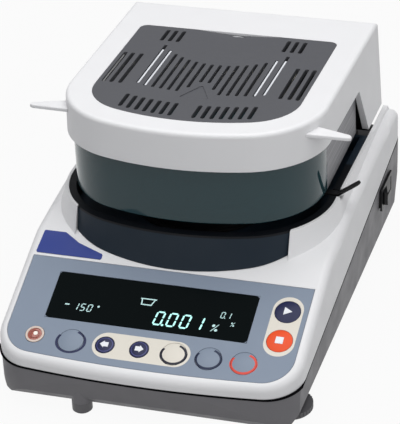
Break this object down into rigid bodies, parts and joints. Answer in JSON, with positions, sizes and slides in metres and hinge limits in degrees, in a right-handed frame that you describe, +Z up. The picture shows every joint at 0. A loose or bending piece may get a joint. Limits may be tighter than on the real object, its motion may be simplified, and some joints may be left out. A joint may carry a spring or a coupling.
{
  "type": "moisture analyzer",
  "caption": "Bench moisture analyzer: grey and white case, sloping key panel with display, hinged heating cover with slotted grille and smoked glass over a sample pan.",
  "frame": {"origin": "centre of the bounding box at table height, under the feet", "axes": "+X to the user's right, +Y to the rear, +Z up"},
  "size_m": [0.23, 0.32, 0.1754],
  "materials": {
    "white_shell": "fine matt",
    "grey_shell": "fine matt",
    "grille_grey": "matt",
    "overlay_blue_grey": "satin film",
    "badge_blue": "gloss",
    "dark_window": "gloss",
    "display_tube": "gloss",
    "circuit_board": "satin",
    "navy_key": "satin",
    "dark_key": "satin",
    "red_key": "satin",
    "orange_key": "satin",
    "bezel_grey": "satin",
    "level_fluid": "gloss",
    "black_tray": "satin",
    "black_handle": "satin",
    "aluminium_pan": "satin",
    "steel_support": "brushed",
    "cast_frame": "cast",
    "magnet_steel": "satin",
    "black_socket": "satin",
    "nickel_shell": "satin",
    "brass_screw": "satin",
    "steel_screw": "plain",
    "switch_black": "satin",
    "foot_grey": "matt",
    "foot_rubber": "matt",
    "smoked_glass": "gloss",
    "shield_steel": "brushed",
    "reflector_metal": "polished",
    "lamp_glass": "clear",
    "ceramic": "ceramic"
  },
  "bodies": {
    "base": {"lower_case": "grey_shell", "upper_case": "white_shell", "case_screws": "steel_screw", "panel_overlay": "overlay_blue_grey", "badge_plate": "badge_blue", "display_window": "dark_window", "display_module": "display_tube", "key_board": "circuit_board", "level_bezel": "bezel_grey", "level_vial": "level_fluid", "chamber_tray": "black_tray", "pan_support": "steel_support", "weigh_cell": "cast_frame", "cell_bridge": "cast_frame", "cell_magnet": "magnet_steel", "main_board": "circuit_board", "power_board": "circuit_board", "power_inlet": "black_socket", "fuse_holder": "black_socket", "serial_connector": "nickel_shell", "earth_terminal": "brass_screw", "switch_bezel": "switch_black", "rear_feet": "foot_rubber", "front_foot": "foot_grey", "hinge_brackets": "magnet_steel", "hinge_shaft": "magnet_steel"},
    "cover": {"hinge_arms": "magnet_steel", "heater_cover": "white_shell", "vent_grille": "grille_grey", "grip_tab_left": "white_shell", "grip_tab_right": "white_shell", "glass_housing": "smoked_glass", "side_shield_left": "shield_steel", "side_shield_right": "shield_steel", "rear_shield": "magnet_steel", "reflector": "reflector_metal", "halogen_lamp": "lamp_glass", "lamp_holders": "ceramic", "temperature_sensor": "steel_support"},
    "program_key_body": {"program_key": "dark_key"},
    "left_arrow_key_body": {"left_arrow_key": "navy_key"},
    "right_arrow_key_body": {"right_arrow_key": "navy_key"},
    "select_key_body": {"select_key": "dark_key"},
    "enter_key_body": {"enter_key": "dark_key"},
    "reset_key_body": {"reset_key": "red_key"},
    "stop_key_body": {"stop_key": "orange_key"},
    "start_key_body": {"start_key": "navy_key"},
    "power_rocker_body": {"power_rocker": "switch_black"},
    "levelling_foot_left_body": {"levelling_foot_left": "foot_grey"},
    "levelling_foot_right_body": {"levelling_foot_right": "foot_grey"},
    "breeze_ring_body": {"breeze_ring": "black_handle"},
    "pan_handle_body": {"pan_handle": "black_handle"},
    "sample_pan_body": {"sample_pan": "aluminium_pan"}
  },
  "joints": [
    {"name": "cover_hinge", "type": "hinge", "parent": "base", "child": "cover", "pos_m": [0, 0.13, 0.092], "axis": [-1, 0, 0], "range_deg": [0, 70]},
    {"name": "program_key_press", "type": "slide", "parent": "base", "child": "program_key_body", "axis": [0, 0.3754, -0.9269], "range_m": [0, 0.0006], "stiffness_N_per_m": 1500, "springref_m": -0.0004},
    {"name": "left_arrow_key_press", "type": "slide", "parent": "base", "child": "left_arrow_key_body", "axis": [0, 0.3754, -0.9269], "range_m": [0, 0.0006], "stiffness_N_per_m": 1500, "springref_m": -0.0004},
    {"name": "right_arrow_key_press", "type": "slide", "parent": "base", "child": "right_arrow_key_body", "axis": [0, 0.3754, -0.9269], "range_m": [0, 0.0006], "stiffness_N_per_m": 1500, "springref_m": -0.0004},
    {"name": "select_key_press", "type": "slide", "parent": "base", "child": "select_key_body", "axis": [0, 0.3754, -0.9269], "range_m": [0, 0.0006], "stiffness_N_per_m": 1500, "springref_m": -0.0004},
    {"name": "enter_key_press", "type": "slide", "parent": "base", "child": "enter_key_body", "axis": [0, 0.3754, -0.9269], "range_m": [0, 0.0006], "stiffness_N_per_m": 1500, "springref_m": -0.0004},
    {"name": "reset_key_press", "type": "slide", "parent": "base", "child": "reset_key_body", "axis": [0, 0.3754, -0.9269], "range_m": [0, 0.0006], "stiffness_N_per_m": 1500, "springref_m": -0.0004},
    {"name": "stop_key_press", "type": "slide", "parent": "base", "child": "stop_key_body", "axis": [0, 0.3754, -0.9269], "range_m": [0, 0.0006], "stiffness_N_per_m": 1500, "springref_m": -0.0004},
    {"name": "start_key_press", "type": "slide", "parent": "base", "child": "start_key_body", "axis": [0, 0.3754, -0.9269], "range_m": [0, 0.0006], "stiffness_N_per_m": 1500, "springref_m": -0.0004},
    {"name": "power_rocker_tilt", "type": "hinge", "parent": "base", "child": "power_rocker_body", "pos_m": [0.1075, 0.106, 0.047], "axis": [0, 0, 1], "range_deg": [-16, 0]},
    {"name": "levelling_foot_left_turn", "type": "hinge", "parent": "base", "child": "levelling_foot_left_body", "pos_m": [-0.092, -0.116, 0.004], "axis": [0, 0, 1], "range_deg": [-720, 720]},
    {"name": "levelling_foot_right_turn", "type": "hinge", "parent": "base", "child": "levelling_foot_right_body", "pos_m": [0.092, -0.116, 0.004], "axis": [0, 0, 1], "range_deg": [-720, 720]},
    {"name": "breeze_ring_lift", "type": "slide", "parent": "base", "child": "breeze_ring_body", "axis": [0, 0, 1], "range_m": [0, 0.003]},
    {"name": "pan_handle_lift", "type": "slide", "parent": "base", "child": "pan_handle_body", "axis": [0, 0, 1], "range_m": [0, 0.004]},
    {"name": "sample_pan_lift", "type": "slide", "parent": "pan_handle_body", "child": "sample_pan_body", "axis": [0, 0, 1], "range_m": [0, 0.022]}
  ]
}
